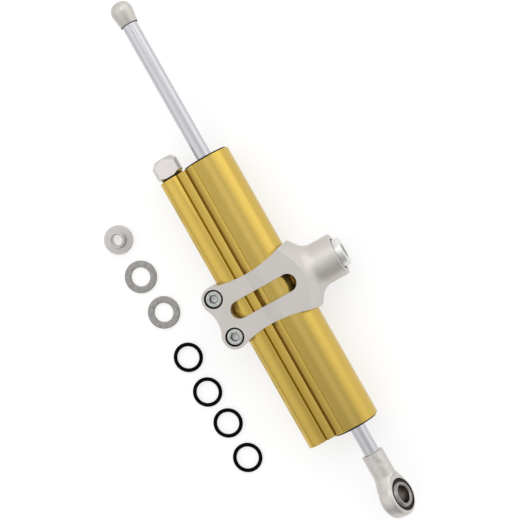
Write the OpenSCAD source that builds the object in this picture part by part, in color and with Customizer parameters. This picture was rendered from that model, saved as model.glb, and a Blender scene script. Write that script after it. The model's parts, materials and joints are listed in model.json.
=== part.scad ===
// Linear steering damper for a motorcycle: a through-rod hydraulic damper in an extruded
// barrel with a side reservoir, carried by a split clamp with a swivel pivot.
// The rod runs along X, the clamp's pivot along Y, and the flats of the barrel face up and down.
// The origin is the centre of the pivot sleeve's outer face, where the damper is bolted on.

/* [Barrel] */
// Length of the extruded barrel
barrel_len = 167; // [150:1:190]
// Bore of the main tube
barrel_bore = 23.5; // [22:0.1:25]
// Wall of the main tube
barrel_wall = 2.25; // [1.8:0.05:3]
// Depth of the flat milled along the tube's top and underside
flat_depth = 1.2; // [0.6:0.1:1.5]
// Bore of the side reservoir
reservoir_bore = 12.5; // [11.5:0.1:14]
// Wall of the side reservoir
reservoir_wall = 1.75; // [1.3:0.05:2.5]
// Wall left between the two bores
web_wall = 3; // [2:0.1:5]
// Distance from the reservoir's axis to the groove beside it
groove_offset = 4; // [3:0.1:5]
// Width of that groove
groove_w = 1; // [0.6:0.1:1.4]
// Depth of that groove
groove_depth = 2; // [1:0.1:2.2]
// Width of the relief cut along the foot of the main tube
relief_w = 0.6; // [0.3:0.05:0.9]
// Diameter of the oil ports between the two bores
port_d = 3.6; // [2:0.1:4.4]
// Distance from the cap end of the barrel to the middle of the clamp
clamp_at = 81; // [60:1:100]

/* [Rod and piston] */
// Diameter of the rod
rod_d = 8.8; // [7:0.1:9.6]
// Rod that stands out of the barrel at the cap end
rod_out_cap = 85; // [84:0.5:110]
// Rod that stands out of the barrel at the eye end
rod_out_eye = 18.4; // [14:0.1:40]
// Diameter of the threaded ends of the rod
stud_d = 6; // [5:0.1:6.5]
// Length of the threaded ends of the rod
stud_len = 8.5; // [6:0.1:10]
// Travel of the rod towards its cap
stroke_in = 10; // [5:0.5:20]
// Oil left between the piston and the seal head at the end of that travel
end_margin = 3.5; // [2:0.5:8]
// Length of the piston
piston_len = 18; // [14:0.5:24]
// Gap between the piston and the bore
piston_gap = 0.35; // [0.2:0.05:0.6]
// Width of the bearing band round the piston
band_w = 9; // [6:0.5:11]
// Thickness of the bearing band
band_t = 1.4; // [1:0.1:2]
// Thickness of the piston's circlips
clip_t = 1; // [0.8:0.1:1.4]
// Height of a circlip in the radial direction
clip_h = 2.2; // [1.8:0.1:2.8]
// Depth of a circlip's groove in the rod
clip_groove = 0.7; // [0.5:0.05:0.9]

/* [Seal heads] */
// Length of a seal head inside the barrel
head_len = 26; // [24:0.5:32]
// Height that a seal head stands proud of the barrel's end
head_proud = 0.8; // [0.3:0.1:2]
// Distance of a seal head's rim inside the barrel's flats
rim_inset = 0.2; // [0.1:0.1:0.8]
// Outside diameter of the rod bush and the rod seal
gland_d = 14; // [12.5:0.1:15]
// Length of a rod bush
bush_len = 10; // [8:0.5:12]
// Length of a rod seal
seal_len = 5; // [4:0.1:6]
// Outside diameter of a rod wiper
wiper_d = 13; // [12:0.1:14]
// Length of a rod wiper
wiper_len = 4; // [3:0.1:5]
// Section of the static O-rings on the seal heads, the adjuster and the end plug
ring_section = 1.8; // [1.4:0.1:2]
// Diameter of the holes for a pin spanner
spanner_d = 2.2; // [1.6:0.1:2.6]
// Depth of the holes for a pin spanner
spanner_depth = 2.5; // [1.5:0.1:3]

/* [Rod cap] */
// Length of the cap
cap_len = 13.7; // [12:0.1:18]
// Largest diameter of the cap
cap_d = 12.8; // [11:0.1:14]
// Diameter of the cap where the rod enters it
cap_rear_d = 10.2; // [9.6:0.1:10.8]
// Diameter of the blunt tip
cap_tip_d = 4; // [3:0.1:5]
// Length of the conical nose
cap_nose = 4.8; // [4:0.1:5]
// Thickness of the rubber bump washer behind the cap
bump_t = 0.3; // [0.2:0.1:2]

/* [Rod end] */
// Diameter of the threaded shank
shank_d = 12.6; // [11:0.1:13.5]
// Length of rod end from the shank's face to the middle of the eye
eye_reach = 27.8; // [25:0.1:34]
// Outside diameter of the eye
eye_d = 23; // [22.4:0.1:27]
// Width of the eye
eye_w = 9.5; // [8:0.1:10.4]
// Lean of the eye's axis from the barrel's flat towards the clamp's pivot
eye_lean = 64; // [0:1:90]
// Outside diameter of the moulded race
race_d = 18.6; // [18.2:0.1:19.4]
// Width of the race
race_w = 8.4; // [7:0.1:9]
// Diameter of the swivel ball
ball_d = 17.2; // [16.6:0.1:17.6]
// Width of the ball over its flats
ball_w = 11; // [10:0.1:12]
// Bore of the ball
eye_bore = 10; // [8:0.1:10.4]

/* [Clamp] */
// Wall of the clamp over the main tube
clamp_wall = 3.6; // [3:0.1:6]
// Wall of the jaws over the reservoir
jaw_wall = 5.2; // [4.6:0.1:7]
// Width of the clamp at the pivot boss
clamp_w = 42.4; // [38:0.2:46]
// Width of the clamp at its waist
waist_w = 30.3; // [28:0.1:32]
// Distance from the rod axis to the waist
waist_y = 9.6; // [8:0.1:12]
// Distance from the rod axis to the top of the slope down to the jaws
slope_y = 2; // [1:0.1:4]
// Length of that slope
slope_run = 8.8; // [6:0.1:11]
// Width of the window
window_w = 10; // [8:0.1:12]
// Window left short of the tube's side at the boss
window_short = 0.5; // [0:0.1:2]
// Reach of the window past the reservoir's axis
window_past = 6.4; // [5:0.1:7]
// Distance between the two clamp screws
screw_spacing = 23.6; // [22.4:0.1:25]
// Diameter of the clamp screws
screw_d = 5; // [4:0.1:5.4]
// Diameter of a screw's head
screw_head_d = 8.6; // [8:0.1:9.2]
// Height of a screw's head
screw_head_h = 5; // [4:0.1:6]
// Hexagon key of a screw's head
screw_key = 4; // [3:0.5:5]
// Diameter of the counterbore round a screw's head
counterbore_d = 10.6; // [9.8:0.1:11]
// Metal between a screw's hole and the reservoir's side
screw_gap = 0.7; // [0.5:0.1:2]
// Radius of the ears round the screws
ear_r = 6.8; // [6.2:0.05:7.5]
// Depth of the scallop between the ears
scallop = 2.5; // [1:0.1:4]
// Width of the split between the jaws
split_w = 1.6; // [1:0.1:3]

/* [Pivot] */
// Diameter of the pivot boss
boss_d = 24.4; // [23.5:0.1:30]
// Height of the boss's foot above the main tube
boss_foot = 8.8; // [7.5:0.1:12]
// Length of the boss's straight part
boss_len = 15.5; // [12:0.1:24]
// Flare of the boss's foot, radius gained per length
boss_flare = 1.34; // [1:0.02:1.6]
// Fillet between the boss and its foot
boss_fillet = 9; // [2:0.5:12]
// Diameter of the pivot sleeve
sleeve_d = 16.4; // [15:0.1:17.4]
// Height that the sleeve stands proud of the boss
sleeve_proud = 3.6; // [2:0.1:8]
// Diameter of the sleeve's inner flange
flange_d = 20.4; // [19.6:0.1:21]
// Thickness of the sleeve's inner flange
flange_t = 3; // [2:0.1:3.6]
// Core diameter of the sleeve's threaded hole
thread_d = 6.8; // [5:0.1:8.5]
// Depth of the sleeve's threaded hole
thread_len = 20; // [12:0.5:22]
// Wall of the polymer bush in the boss
pivot_bush_t = 1; // [0.8:0.05:1.3]
// Length of the dust seal at the boss's mouth
dust_seal_len = 1.2; // [0.8:0.1:2]

/* [Adjuster] */
// Diameter of the knob
knob_d = 15.9; // [14.4:0.1:17]
// Length of the knob
knob_len = 10.8; // [9.5:0.1:14]
// Length of the knob's conical front
knob_nose = 3; // [2:0.1:4]
// Diameter of the knob's front face
knob_face_d = 10.2; // [9:0.1:11]
// Depth of the knob's finger flats
knob_flat = 2.08; // [1:0.02:2.6]
// Height that the adjuster's housing stands proud of the reservoir
collar_h = 1; // [0.6:0.1:2]
// Length of the adjuster's housing inside the reservoir
housing_len = 24; // [22:0.5:26]
// Diameter of the spindle
spindle_d = 5; // [4:0.1:5.6]
// Length of the spindle's journal in the housing
journal_len = 9; // [7:0.5:10]
// Diameter of the spindle's collar
spindle_collar_d = 8.4; // [7.6:0.1:9]
// Thickness of the spindle's collar
spindle_collar_t = 2; // [1:0.1:2.4]
// Hexagon of the needle, across its flats
needle_hex = 5.6; // [5:0.1:6]
// Length of the needle's hexagon
needle_hex_len = 9; // [7:0.5:10]
// Diameter of the needle's stem
needle_d = 3; // [2.4:0.1:3.4]
// Diameter of the thread between spindle and needle
nose_d = 3; // [2:0.1:3.4]
// Length of the valve seat
seat_len = 4; // [3:0.1:6]
// Distance from the housing to the valve seat
seat_gap = 7; // [6:0.1:9]
// Positions in one turn of the knob
clicks = 16; // [12:1:18]
// Diameter of the detent ball
detent_d = 2.4; // [2:0.1:2.6]
// Radius of the ring of detents
detent_ring = 4.3; // [4.2:0.05:4.4]

/* [Compensator] */
// Length of the compensator piston
comp_len = 6; // [5:0.5:8]
// Length of the compensator's spring at rest
comp_spring_len = 9.5; // [8:0.5:12]
// Wire of the compensator's spring
comp_wire = 0.9; // [0.7:0.05:1.1]
// Turns of the compensator's spring
comp_turns = 5; // [4:0.5:6]
// Length of the reservoir's end plug
plug_len = 5.6; // [4.6:0.1:8]
// Hexagon key of the end plug
plug_key = 5; // [4:0.5:6]
// Distance from the barrel's end to the plug's circlip
plug_clip_at = 1.2; // [0.8:0.1:3]

/* [Fitting kit] */
// Diameter of the top-hat spacer's flange
hat_flange_d = 16.6; // [14:0.1:20]
// Thickness of the top-hat spacer's flange
hat_flange_t = 2.5; // [1.5:0.1:4]
// Diameter of the top-hat spacer's hub
hat_hub_d = 9.4; // [8.4:0.1:11]
// Height of the top-hat spacer
hat_h = 6; // [5:0.1:10]
// Bore of the top-hat spacer
hat_bore = 6.4; // [5:0.1:7]
// Outside diameter of the washers
washer_d = 18.6; // [16:0.1:21]
// Bore of the washers
washer_bore = 11; // [8:0.1:12]
// Thickness of the washers
washer_t = 1.6; // [1:0.1:2.5]
// Outside diameter of the loose O-rings
loose_ring_d = 17; // [14:0.1:18]
// Section of the loose O-rings
loose_ring_section = 2.2; // [1.6:0.1:3]
// Distance from the rod axis to the row in which the kit lies
kit_row = 68; // [60:1:90]

/* [Fits] */
// Radial clearance of a running fit
run_fit = 0.03; // [0.02:0.01:0.08]
// Radial gap round a piece that is fixed in its seat
seat_fit = 0.02; // [0.01:0.01:0.04]
// Radial gap between a soft seal and the rod
seal_fit = 0.05; // [0.03:0.01:0.1]
// Gap between the clamp and the barrel
clamp_fit = 0.15; // [0.1:0.01:0.3]

/* [Hidden] */
$fn = 96;

// A cutter reaches this far past what it cuts
past = 1;
// Larger than any section of the part, for half spaces
far = 90;
// Small edge break on turned pieces
edge = 0.5;

// Barrel section, with Y across and Z up
bore_r = barrel_bore / 2;
barrel_r = bore_r + barrel_wall;
flat_z = barrel_r - flat_depth;
lobe_bore_r = reservoir_bore / 2;
lobe_r = lobe_bore_r + reservoir_wall;
lobe_y = -(bore_r + web_wall + lobe_bore_r);
groove_y = lobe_y + groove_offset;
web_y = -sqrt(barrel_r * barrel_r - lobe_r * lobe_r);

// Places along the rod
top_x = -clamp_at;
end_x = top_x + barrel_len;
rod_r = rod_d / 2;
cap_x = top_x - rod_out_cap;
shank_x = end_x + rod_out_eye;
eye_x = shank_x + eye_reach;
piston_x = top_x + head_len + end_margin + stroke_in;
port_clear = 0.7;
port_inset = head_len + port_d / 2 + port_clear;

// Grooves for the static O-rings
ring_room = 0.4;
ring_groove_w = ring_section + ring_room;
head_land = head_len + head_proud - wiper_len - seal_len - bush_len;
head_ring_at = wiper_len - head_proud + head_land / 2;
head_rim_r = barrel_r - flat_depth - rim_inset;
wiper_r = wiper_d / 2;
gland_r = gland_d / 2;
rod_room = 0.4;

// Roundings of the rod cap
tip_soft = 0.9;
cap_round = cap_d / 2;
tip_round = tip_soft * cap_tip_d;

// Rod end, in the eye's own frame
eye_r = eye_d / 2;
shank_r = shank_d / 2;
race_r = race_d / 2;
ball_r = ball_d / 2;
eye_edge = 2.6;
neck_r = eye_r * 0.8;
neck_end = eye_r * 0.6;
neck_start = 1;
neck_fillet = 8;
shank_edge = 0.6;
flat_start = 2;
flat_runout = 4;

// Clamp
top_z = barrel_r + clamp_wall;
jaw_z = lobe_r + jaw_wall;
screw_x = screw_spacing / 2;
screw_y = lobe_y - lobe_r - screw_gap - screw_d / 2;
jaw_end_y = screw_y - ear_r;
ear_bite = 0.15;
ear_in = waist_w / 2 - screw_x;
ear_reach = ear_r - ear_bite;
waist_drop = -waist_y - screw_y;
waist_r = (waist_drop * waist_drop / (ear_reach - ear_in) - (ear_reach + ear_in)) / 2;
scallop_inset = 0.4 * ear_r;
scallop_half = screw_x - scallop_inset;
scallop_r = (scallop_half * scallop_half + scallop * scallop) / (2 * scallop);
window_y1 = barrel_r - window_short;
window_y0 = lobe_y - window_past;
head_sink = 0.5;
screw_room = 0.15;
tip_sink = 2;
screw_tip_z = tip_sink - jaw_z;
screw_key_depth = 0.55 * screw_head_h;

// Pivot, along Y
boss_r = boss_d / 2;
foot_y = barrel_r + boss_foot;
boss_y = foot_y + boss_len;
pivot_reach = boss_y + sleeve_proud;
sleeve_r = sleeve_d / 2;
flange_r = flange_d / 2;
flange_gap = 1;
flange_y = barrel_r + flange_gap;
flange_top = flange_y + flange_t;
thrust_t = 0.6;
thrust_y = flange_top + run_fit;
shoulder_y = thrust_y + thrust_t + seat_fit;
bush_in_r = sleeve_r + run_fit;
bush_out_r = bush_in_r + pivot_bush_t;
boss_bore_r = bush_out_r + seat_fit;
flange_room = 0.2;
seal_sink = 0.4;
mouth = 0.6;

// Adjuster, along the reservoir from the cap end of the barrel
knob_r = knob_d / 2;
knob_gap = 0.15;
knob_back = -collar_h - knob_gap;
knob_front = knob_back - knob_len;
knob_wall = 2;
knob_heel = 1.2;
knob_heel_in = 1.6;
pocket_room = 0.1;
pocket_r = spindle_collar_d / 2 + pocket_room;
guide_at = journal_len - collar_h + spindle_collar_t + run_fit;
needle_back = 2.4;
needle_at = guide_at + needle_back;
nose_len = 5.5;
seat_at = housing_len + seat_gap;
orifice_r = needle_d / 2;
needle_lead = 1.5;
stem_end = seat_at - needle_lead;
needle_tip = seat_at + 0.6 * seat_len;
needle_tip_r = needle_d / 8;
grub_d = 3;
grub_key = 1.5;
grub_at = knob_front + 0.55 * knob_len;
detent_room = 0.2;
detent_depth = 5;
detent_wire = 0.35;
detent_turns = 3;
dimple_depth = 0.3;
detent_click = 4;
detent_turn = detent_click * 360 / clicks;

// Compensator, along the reservoir from the eye end of the barrel
plug_clip_t = 1;
plug_at = plug_clip_at + plug_clip_t + seat_fit;
comp_at = plug_at + plug_len + comp_spring_len;
comp_ring_at = comp_at + 0.6 * comp_len;
comp_seat_r = 4.6;
comp_seat_depth = 1.5;
plug_clip_groove = 0.6;
plug_clip_h = 1.7;

// The kit lies in a row on the plane that the clamp rests on
floor_z = -top_z;
// Each place is a distance along the row and a distance out of it, towards the damper
hat_spot = [-67.5, -1.3];
washer_spots = [[-43, -0.8], [-19, 0.7]];
loose_ring_spots = [[10, 0.2], [32.5, 0], [53.5, 1.5], [76, 1.5]];

// Unit vector
function unit(v) = v / norm(v);

// Points of an arc that rounds the corner p between its neighbours a and b
function corner_arc(a, p, b, steps) =
  let (
    corner = [p[0], p[1]],
    u = unit([a[0], a[1]] - corner),
    v = unit([b[0], b[1]] - corner),
    half = acos(u * v) / 2,
    centre = corner + unit(u + v) * p[2] / sin(half),
    start = corner + u * p[2] / tan(half) - centre,
    finish = corner + v * p[2] / tan(half) - centre,
    first = atan2(start[1], start[0]),
    sweep = (atan2(finish[1], finish[0]) - first + 540) % 360 - 180
  )
  [for (i = [0:steps]) centre + p[2] * [cos(first + sweep * i / steps), sin(first + sweep * i / steps)]];

// Outline of points [x, y, radius], with each corner rounded by its radius
function rounded(points, steps = 8) =
  let (n = len(points))
  [for (i = [0:n - 1])
    each points[i][2] > 0
      ? corner_arc(points[(i + n - 1) % n], points[i], points[(i + 1) % n], steps)
      : [[points[i][0], points[i][1]]]];

// Centre line of a coil along Z
function coil_path(radius, pitch, turns, rings) =
  [for (i = [0:turns * rings]) let (t = i / rings)
    [radius * cos(360 * t), radius * sin(360 * t), pitch * t]];

// Least gap between one turn of a coil and the next
function coil_gap(path, rings, wire) =
  min([for (i = [0:len(path) - 1 - rings]) norm(path[i + rings] - path[i])]) - wire;

// Places a piece on the rod axis, or on the reservoir's axis
module on_rod_axis() translate([0, -pivot_reach, 0]) children();
module on_lobe_axis() translate([0, lobe_y - pivot_reach, 0]) children();

// At each end of the barrel, with +X pointing inwards
module cap_end() translate([top_x, 0, 0]) children();
module eye_end() translate([end_x, 0, 0]) mirror([1, 0, 0]) children();
module both_ends() {
  cap_end() children();
  eye_end() children();
}

// Revolves a profile of radius and distance round X, or round Y
module lathe() rotate([0, 90, 0]) rotate_extrude() children();
module lathe_y() rotate([-90, 0, 0]) rotate_extrude() children();

// Rectangle of a turned profile
module band(r0, r1, a0, a1) translate([r0, a0]) square([r1 - r0, a1 - a0]);

// Carries a profile in Y and Z along X
module along_x(x0, x1) translate([x0, 0, 0]) rotate([90, 0, 90]) linear_extrude(x1 - x0) children();

// Section of a static O-ring and its groove, for a bore of radius r and a ring at distance a
module ring_profile(r, a) translate([r - seat_fit - ring_section / 2, a]) circle(d = ring_section);
module ring_groove(r, a)
  band(r - 2 * seat_fit - ring_section, r + past, a - ring_groove_w / 2, a + ring_groove_w / 2);

// Spring wound along X from x0, as one tube of six sides
module coil(x0, length, radius, wire, turns, rings = 12, sides = 6) {
  end_room = 0.6 * wire;
  pitch = (length - 2 * end_room) / turns;
  path = coil_path(radius, pitch, turns, rings);
  count = len(path);
  climb = atan2(pitch, 2 * PI * radius);
  points = [for (i = [0:count - 1], j = [0:sides - 1])
    let (turn = 360 * i / rings, a = 360 * j / sides, out = cos(a) * wire / 2, up = sin(a) * wire / 2)
    path[i] + out * [cos(turn), sin(turn), 0]
      + up * [sin(turn) * sin(climb), -cos(turn) * sin(climb), cos(climb)]];
  walls = [for (i = [0:count - 2], j = [0:sides - 1])
    let (a = i * sides + j, b = i * sides + (j + 1) % sides)
    each [[a, a + sides, b], [b, a + sides, b + sides]]];
  last = (count - 1) * sides;
  ends = [for (j = [1:sides - 2]) each [[0, j, j + 1], [last, last + j + 1, last + j]]];
  echo("least gap between turns", coil_gap(path, rings, wire));
  translate([x0 + end_room, 0, 0]) rotate([0, 90, 0]) polyhedron(points, concat(walls, ends));
}

// Outside of the barrel's section, grown by a clearance
module barrel_outline(grow) {
  intersection() {
    circle(r = barrel_r + grow);
    square([4 * barrel_r, 2 * (flat_z + grow)], center = true);
  }
  translate([lobe_y, 0]) circle(r = lobe_r + grow);
  translate([groove_y, -lobe_r - grow]) square([-groove_y - barrel_r / 2, 2 * (lobe_r + grow)]);
}

module damper_body() color("goldenrod") on_rod_axis() difference() {
  along_x(top_x, end_x) difference() {
    barrel_outline(0);
    for (side = [-1, 1])
      translate([groove_y, side * (lobe_r + past - groove_depth / 2)])
        square([groove_w, groove_depth + 2 * past], center = true);
    difference() {
      translate([web_y - relief_w, -lobe_r - past]) square([-web_y, 2 * (lobe_r + past)]);
      circle(r = barrel_r);
    }
  }
  along_x(top_x - past, end_x + past) circle(r = bore_r);
  along_x(top_x - past, end_x + past) translate([lobe_y, 0]) circle(r = lobe_bore_r);
  both_ends() translate([port_inset, 0, 0]) rotate([90, 0, 0]) cylinder(d = port_d, h = -lobe_y);
  translate([0, lobe_y, 0]) eye_end() lathe()
    band(0, lobe_bore_r + plug_clip_groove, plug_clip_at, plug_clip_at + plug_clip_t);
}

// Gland that closes one end of the main tube and carries the rod
module seal_head() {
  difference() {
    lathe() difference() {
      union() {
        band(rod_r + rod_room, bore_r - seat_fit, -head_proud, head_len);
        band(rod_r + rod_room, head_rim_r, -head_proud, -seat_fit);
      }
      band(0, wiper_r, -head_proud - past, wiper_len - head_proud);
      band(0, gland_r, head_len - bush_len - seal_len, head_len + past);
      ring_groove(bore_r, head_ring_at);
    }
    for (side = [-1, 1])
      translate([-head_proud - past, side * (wiper_r + bore_r) / 2, 0])
        rotate([0, 90, 0]) cylinder(d = spanner_d, h = spanner_depth + past);
  }
}

module upper_seal_head() color("dimgray") on_rod_axis() cap_end() seal_head();

module lower_seal_head() color("dimgray") on_rod_axis() eye_end() seal_head();

module rod_bushes() color("peru") on_rod_axis() both_ends() lathe()
  band(rod_r + run_fit, gland_r - seat_fit, head_len - bush_len, head_len);

module rod_seals() color("black") on_rod_axis() both_ends() lathe() difference() {
  band(rod_r + seal_fit, gland_r - seat_fit, head_len - bush_len - seal_len, head_len - bush_len);
  translate([(rod_r + gland_r) / 2, head_len - bush_len])
    rotate(45) square(seal_len / 3, center = true);
}

module rod_wipers() color("black") on_rod_axis() both_ends() lathe() translate([0, -head_proud])
  polygon([
    [rod_r + seal_fit, 0], [wiper_r - seat_fit, 0], [wiper_r - seat_fit, wiper_len],
    [rod_r + rod_room, wiper_len], [rod_r + rod_room, wiper_len / 2]
  ]);

module seal_head_o_rings() color("black") on_rod_axis() both_ends() lathe()
  ring_profile(bore_r, head_ring_at);

module piston() color("silver") on_rod_axis() translate([piston_x, 0, 0]) lathe() difference() {
  polygon([
    [rod_r + seat_fit, 0], [bore_r - piston_gap - edge, 0], [bore_r - piston_gap, edge],
    [bore_r - piston_gap, piston_len - edge], [bore_r - piston_gap - edge, piston_len],
    [rod_r + seat_fit, piston_len]
  ]);
  band(bore_r - band_t, bore_r, (piston_len - band_w) / 2, (piston_len + band_w) / 2);
}

module piston_band() color("saddlebrown") on_rod_axis() translate([piston_x, 0, 0]) lathe()
  band(bore_r - band_t + run_fit, bore_r - run_fit,
    (piston_len - band_w) / 2 + run_fit, (piston_len + band_w) / 2 - run_fit);

// Open ring in a groove of the rod, in front of distance a
module rod_circlip(a) difference() {
  translate([a, 0, 0]) lathe()
    band(rod_r - clip_groove + seat_fit, rod_r - clip_groove + clip_h, -clip_t + seat_fit, -seat_fit);
  translate([a - clip_t / 2, 0, -rod_r]) cube([2 * clip_t, rod_d - clip_groove * 3, rod_d], center = true);
}

module piston_circlips() color("dimgray") on_rod_axis() {
  rod_circlip(piston_x);
  rod_circlip(piston_x + piston_len + clip_t);
}

module rod() color("gainsboro") on_rod_axis() lathe() difference() {
  union() {
    band(0, rod_r, cap_x, shank_x);
    band(0, stud_d / 2, cap_x - stud_len, shank_x + stud_len);
  }
  for (a = [piston_x - clip_t, piston_x + piston_len])
    band(rod_r - clip_groove, rod_r + past, a, a + clip_t);
}

module rod_cap() color("silver") on_rod_axis() translate([cap_x, 0, 0]) lathe() difference() {
  polygon(rounded([
    [0, 0, 0], [cap_rear_d / 2, 0, edge / 2], [cap_d / 2, cap_nose - cap_len, cap_round],
    [cap_tip_d / 2, -cap_len, tip_round], [0, -cap_len, 0]
  ]));
  band(-past, stud_d / 2 + seat_fit, -stud_len - seat_fit, past);
}

module bump_washer() color("black") on_rod_axis() translate([cap_x, 0, 0]) lathe()
  band(rod_r + seat_fit, cap_rear_d / 2, seat_fit, bump_t);

// Places a piece in the eye's frame, with its axis along Z
module in_eye() on_rod_axis() translate([eye_x, 0, 0]) rotate([-eye_lean, 0, 0]) children();

// Round neck that flares from the shank into the eye
module eye_neck() lathe() polygon(rounded([
  [0, -eye_reach, 0], [shank_r, -eye_reach, shank_edge], [shank_r, -eye_r - neck_start, neck_fillet],
  [neck_r, -neck_end, 0], [0, -neck_end, 0]
]));

// Flats milled on both sides of the neck, run out by the cutter's radius
module neck_flats() for (side = [0, 1]) mirror([0, 0, side])
  rotate([90, 0, 0]) linear_extrude(far, center = true) polygon(rounded([
    [-eye_r - flat_start, far, 0], [-eye_r - flat_start, eye_w / 2, flat_runout],
    [far, eye_w / 2, 0], [far, far, 0]
  ]));

module rod_end_body() color("silver") in_eye() difference() {
  union() {
    difference() {
      eye_neck();
      neck_flats();
    }
    rotate_extrude() polygon(rounded([
      [0, -eye_w / 2, 0], [eye_r, -eye_w / 2, eye_edge], [eye_r, eye_w / 2, eye_edge], [0, eye_w / 2, 0]
    ]));
  }
  cylinder(r = race_r, h = far, center = true);
  lathe() band(0, stud_d / 2 + seat_fit, -eye_reach - past, stud_len - eye_reach + seat_fit);
}

module rod_end_race() color("black") in_eye() rotate_extrude() difference() {
  band(ball_r / 2, race_r - run_fit, -race_w / 2, race_w / 2);
  circle(r = ball_r + run_fit);
}

module swivel_ball() color("dimgray") in_eye() rotate_extrude() difference() {
  intersection() {
    circle(r = ball_r);
    band(0, ball_d, -ball_w / 2, ball_w / 2);
  }
  band(-past, eye_bore / 2, -ball_w, ball_w);
}

// Outline of the clamp seen from above
module clamp_plan() difference() {
  union() {
    translate([-clamp_w / 2, screw_y]) square([clamp_w, far]);
    for (side = [-1, 1]) translate([side * screw_x, screw_y]) circle(r = ear_r);
    translate([-screw_x, jaw_end_y]) square([screw_spacing, ear_r + past]);
  }
  for (side = [-1, 1]) translate([side * (waist_w / 2 + waist_r), -waist_y]) circle(r = waist_r);
  translate([0, jaw_end_y + scallop - scallop_r]) circle(r = scallop_r);
}

// Outline of the clamp seen along the rod
module clamp_side() polygon([
  [-far, -jaw_z], [-slope_y - slope_run, -jaw_z], [-slope_y, -top_z], [far, -top_z],
  [far, top_z], [-slope_y, top_z], [-slope_y - slope_run, jaw_z], [-far, jaw_z]
]);

// Boss with its flared foot, turned about the pivot's axis
module boss_flared() lathe_y() polygon(rounded([
  [0, -far, 0], [far, -far, 0], [far, foot_y - (far - boss_r) / boss_flare, 0],
  [boss_r, foot_y, boss_fillet], [boss_r, boss_y, edge], [0, boss_y, 0]
]));

module clamp() color("lightgray") on_rod_axis() difference() {
  intersection() {
    linear_extrude(2 * far, center = true) clamp_plan();
    along_x(-far, far) clamp_side();
    boss_flared();
  }
  along_x(-far, far) barrel_outline(clamp_fit);
  translate([-far, -far, -split_w / 2]) cube([2 * far, far + lobe_y, split_w]);
  linear_extrude(2 * far, center = true) {
    translate([-window_w / 2, window_y0 + window_w / 2])
      square([window_w, window_y1 - window_y0 - window_w]);
    for (y = [window_y0 + window_w / 2, window_y1 - window_w / 2]) translate([0, y]) circle(d = window_w);
  }
  for (side = [-1, 1]) translate([side * screw_x, screw_y, 0]) {
    translate([0, 0, jaw_z - head_sink - screw_head_h]) cylinder(d = counterbore_d, h = far);
    translate([0, 0, -far]) cylinder(r = screw_d / 2 + screw_room, h = 2 * far);
  }
  lathe_y() {
    band(0, boss_bore_r, 0, boss_y + past);
    band(0, flange_r + flange_room, 0, shoulder_y);
  }
}

module clamp_screws() color("gainsboro") on_rod_axis()
  for (side = [-1, 1]) translate([side * screw_x, screw_y, jaw_z - head_sink]) difference() {
    union() {
      translate([0, 0, -screw_head_h]) cylinder(d = screw_head_d, h = screw_head_h);
      translate([0, 0, screw_tip_z - jaw_z]) cylinder(d = screw_d, h = jaw_z - screw_tip_z - past);
    }
    translate([0, 0, -screw_key_depth]) cylinder(d = screw_key / cos(30), h = screw_head_h, $fn = 6);
  }

module pivot_sleeve() color("gainsboro") on_rod_axis() lathe_y() difference() {
  polygon([
    [0, flange_y], [flange_r, flange_y], [flange_r, flange_top], [sleeve_r, flange_top],
    [sleeve_r, pivot_reach - edge], [sleeve_r - edge, pivot_reach], [0, pivot_reach]
  ]);
  band(-past, thread_d / 2, pivot_reach - thread_len, pivot_reach + past);
  polygon([
    [0, pivot_reach - mouth], [thread_d / 2, pivot_reach - mouth],
    [thread_d / 2 + mouth + past, pivot_reach + past], [0, pivot_reach + past]
  ]);
}

module pivot_bush() color("dimgray") on_rod_axis() lathe_y() {
  band(bush_in_r, bush_out_r, thrust_y, boss_y - seal_sink - dust_seal_len - seat_fit);
  band(bush_in_r, flange_r, thrust_y, thrust_y + thrust_t);
}

module pivot_dust_seal() color("black") on_rod_axis() lathe_y()
  band(bush_in_r, bush_out_r, boss_y - seal_sink - dust_seal_len, boss_y - seal_sink);

module adjuster_housing() color("dimgray") on_lobe_axis() cap_end() difference() {
  lathe() difference() {
    band(spindle_d / 2 + run_fit, lobe_bore_r - seat_fit, -collar_h, housing_len);
    band(0, pocket_r, journal_len - collar_h, housing_len + past);
    ring_groove(lobe_bore_r, housing_len / 2);
  }
  for (i = [0:clicks - 1]) rotate([360 * i / clicks, 0, 0])
    translate([-collar_h - detent_d / 2 + dimple_depth, 0, -detent_ring]) sphere(d = detent_d);
}

module adjuster_o_ring() color("black") on_lobe_axis() cap_end() lathe()
  ring_profile(lobe_bore_r, housing_len / 2);

// Insert that traps the spindle's collar and keeps the needle from turning
module needle_guide() color("peru") on_lobe_axis() cap_end() difference() {
  lathe() band(0, pocket_r - seat_fit, guide_at, housing_len);
  translate([guide_at - past, 0, 0]) rotate([0, 90, 0])
    cylinder(d = (needle_hex + 2 * run_fit) / cos(30), h = housing_len, $fn = 6);
}

module adjuster_spindle() color("gainsboro") on_lobe_axis() cap_end() lathe() {
  band(0, spindle_d / 2, knob_front + knob_wall, journal_len);
  band(0, spindle_collar_d / 2, journal_len - collar_h + run_fit, guide_at - run_fit);
  band(0, nose_d / 2, 0, needle_at + nose_len);
}

module adjuster_knob() color("silver") on_lobe_axis() cap_end() difference() {
  lathe() polygon([
    [0, knob_front], [knob_face_d / 2, knob_front], [knob_r, knob_front + knob_nose],
    [knob_r, knob_back - knob_heel], [knob_r - knob_heel_in, knob_back], [0, knob_back]
  ]);
  for (turn = [0:120:240]) rotate([turn, 0, 0])
    translate([knob_front - past, -knob_r, knob_r - knob_flat]) cube([knob_len + 2 * past, knob_d, knob_r]);
  lathe() band(0, spindle_d / 2 + seat_fit, knob_front + knob_wall - seat_fit, knob_back + past);
  translate([grub_at, 0, -knob_d]) cylinder(d = grub_d + 2 * seat_fit, h = knob_d);
  rotate([detent_turn, 0, 0]) translate([knob_back - detent_depth, 0, -detent_ring])
    rotate([0, 90, 0]) cylinder(d = detent_d + detent_room, h = detent_depth + past);
}

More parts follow.
